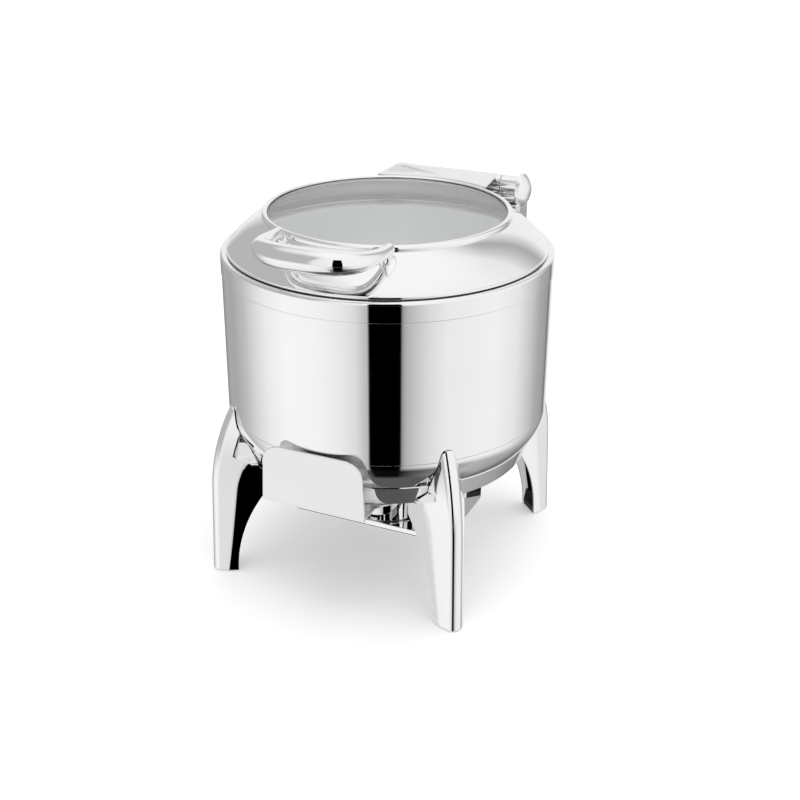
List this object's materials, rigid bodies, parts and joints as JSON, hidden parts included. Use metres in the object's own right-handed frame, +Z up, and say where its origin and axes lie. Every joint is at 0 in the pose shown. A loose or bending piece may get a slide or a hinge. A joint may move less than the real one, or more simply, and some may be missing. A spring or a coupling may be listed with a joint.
{
  "type": "soup chafer",
  "caption": "Round buffet soup chafer: polished tank on a legged stand, rear-hinged window lid with a front handle, fuel shelf below.",
  "frame": {"origin": "on the floor under the middle of the tank", "axes": "+Z up, -Y toward the handle and front shield, +Y toward the hinge, hinge axis along X"},
  "size_m": [0.3572, 0.3948, 0.4151],
  "materials": {
    "polished_steel": "mirror polished stainless steel",
    "satin_steel": "fine satin stainless steel",
    "pan_steel": "drawn stainless steel, soft sheen",
    "black_rubber": "matte",
    "silicone": "translucent grey silicone",
    "clear_glass": "clear tempered glass",
    "fuel_tin": "lacquered tin"
  },
  "bodies": {
    "stand": {"support_ring": "polished_steel", "front_shield": "satin_steel", "leg_front_right": "polished_steel", "leg_front_left": "polished_steel", "leg_rear_left": "polished_steel", "leg_rear_right": "polished_steel", "leg_bolts": "polished_steel", "foot_pads": "black_rubber", "fuel_shelf": "polished_steel", "shelf_screws": "polished_steel"},
    "tank": {"tank_wall": "polished_steel", "tank_collar": "polished_steel", "water_pan": "polished_steel", "food_pan": "pan_steel", "hinge_base": "polished_steel", "base_screws": "polished_steel", "hinge_pin": "polished_steel", "hinge_tube": "polished_steel", "hinge_cheek": "polished_steel", "hinge_rod": "polished_steel"},
    "lid": {"lid_dome": "polished_steel", "rim_seal": "silicone", "window_bezel": "polished_steel", "window_gasket": "silicone", "window_glass": "clear_glass", "handle_bow": "polished_steel", "handle_feet": "polished_steel", "handle_screws": "polished_steel", "lid_arm": "polished_steel", "arm_screws": "polished_steel", "hinge_cover": "satin_steel"},
    "holder": {"fuel_holder": "polished_steel", "fuel_can": "fuel_tin", "damper_pin": "polished_steel"},
    "damper": {"damper_lid": "polished_steel", "damper_knob": "black_rubber"}
  },
  "joints": [
    {"name": "tank_lift", "type": "slide", "parent": "stand", "child": "tank", "axis": [0, 0, 1], "range_m": [0, 0.12]},
    {"name": "lid_hinge", "type": "hinge", "parent": "tank", "child": "lid", "pos_m": [0, 0.172, 0.394], "axis": [-1, 0, 0], "range_deg": [0, 90]},
    {"name": "holder_slide", "type": "slide", "parent": "stand", "child": "holder", "axis": [0, 1, 0], "range_m": [0, 0.06]},
    {"name": "damper_swing", "type": "hinge", "parent": "holder", "child": "damper", "pos_m": [-0.038, 0, 0.098], "axis": [0, 0, 1], "range_deg": [0, 100]}
  ]
}
